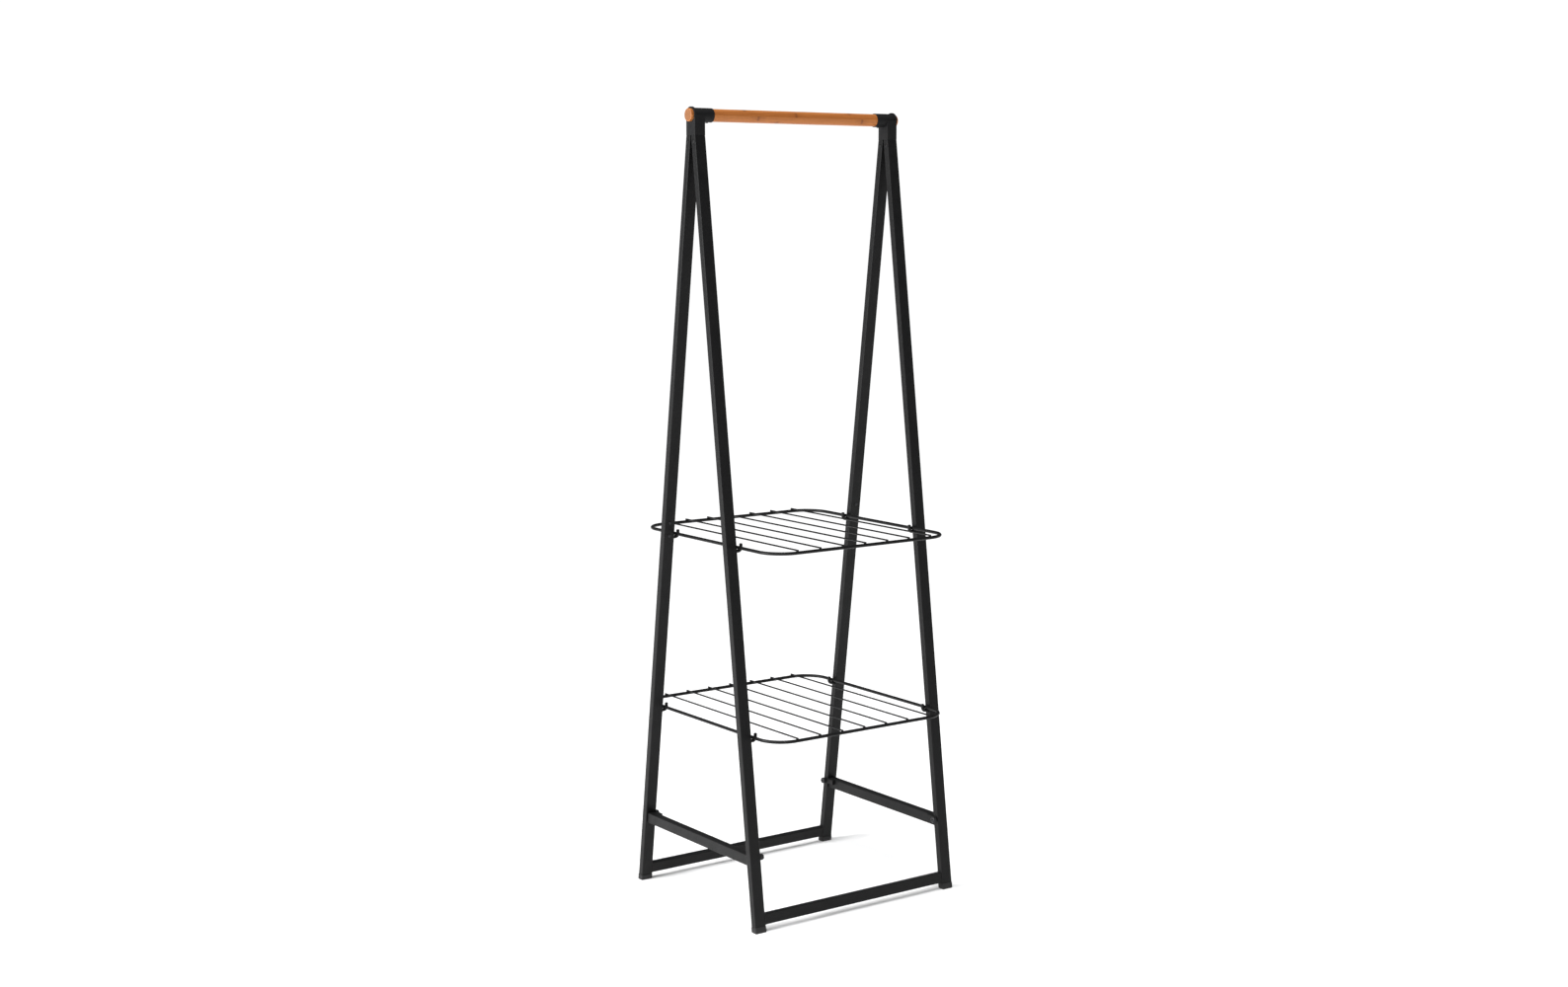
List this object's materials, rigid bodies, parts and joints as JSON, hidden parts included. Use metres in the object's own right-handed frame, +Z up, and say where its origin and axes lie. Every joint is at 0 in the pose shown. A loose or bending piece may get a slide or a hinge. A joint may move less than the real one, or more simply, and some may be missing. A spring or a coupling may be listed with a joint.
{
  "type": "valet stand",
  "caption": "Tall A-frame clothes valet: slim black tube legs under a round bamboo hanging rail, with wire shelves that lift out of hooks.",
  "frame": {"origin": "on the floor, midway between the four feet", "axes": "+X along the rail, +Y to the rear, +Z up"},
  "size_m": [0.608, 0.5702, 1.9042],
  "materials": {
    "black_powder_coat": "satin powder coat with a fine texture",
    "black_wire": "satin powder coat over steel wire",
    "head_black": "matte coat over a die casting",
    "black_steel": "black oxide",
    "plain_steel": "zinc plated",
    "foot_plastic": "moulded matte",
    "bamboo": "satin lacquer"
  },
  "bodies": {
    "frame": {"front_left_lower_leg": "black_powder_coat", "front_left_upper_leg": "black_powder_coat", "front_left_spigot": "plain_steel", "front_left_foot": "foot_plastic", "front_right_lower_leg": "black_powder_coat", "front_right_upper_leg": "black_powder_coat", "front_right_spigot": "plain_steel", "front_right_foot": "foot_plastic", "front_floor_bar": "black_powder_coat", "rear_left_lower_leg": "black_powder_coat", "rear_left_upper_leg": "black_powder_coat", "rear_left_spigot": "plain_steel", "rear_left_foot": "foot_plastic", "rear_right_lower_leg": "black_powder_coat", "rear_right_upper_leg": "black_powder_coat", "rear_right_spigot": "plain_steel", "rear_right_foot": "foot_plastic", "rear_floor_bar": "black_powder_coat", "left_stretcher": "black_powder_coat", "left_head": "head_black", "right_stretcher": "black_powder_coat", "right_head": "head_black", "rail": "bamboo", "leg_screws": "black_steel", "stretcher_bolts": "black_steel", "threaded_inserts": "plain_steel", "hinge_pins": "black_steel", "rail_screws": "black_steel", "upper_shelf_hooks": "black_powder_coat", "lower_shelf_hooks": "black_powder_coat"},
    "upper_shelf": {"upper_shelf_frame": "black_wire", "upper_shelf_wires": "black_wire"},
    "lower_shelf": {"lower_shelf_frame": "black_wire", "lower_shelf_wires": "black_wire"}
  },
  "joints": [
    {"name": "upper_shelf_lift", "type": "slide", "parent": "frame", "child": "upper_shelf", "axis": [0, 0, 1], "range_m": [0, 0.06]},
    {"name": "lower_shelf_lift", "type": "slide", "parent": "frame", "child": "lower_shelf", "axis": [0, 0, 1], "range_m": [0, 0.06]}
  ]
}
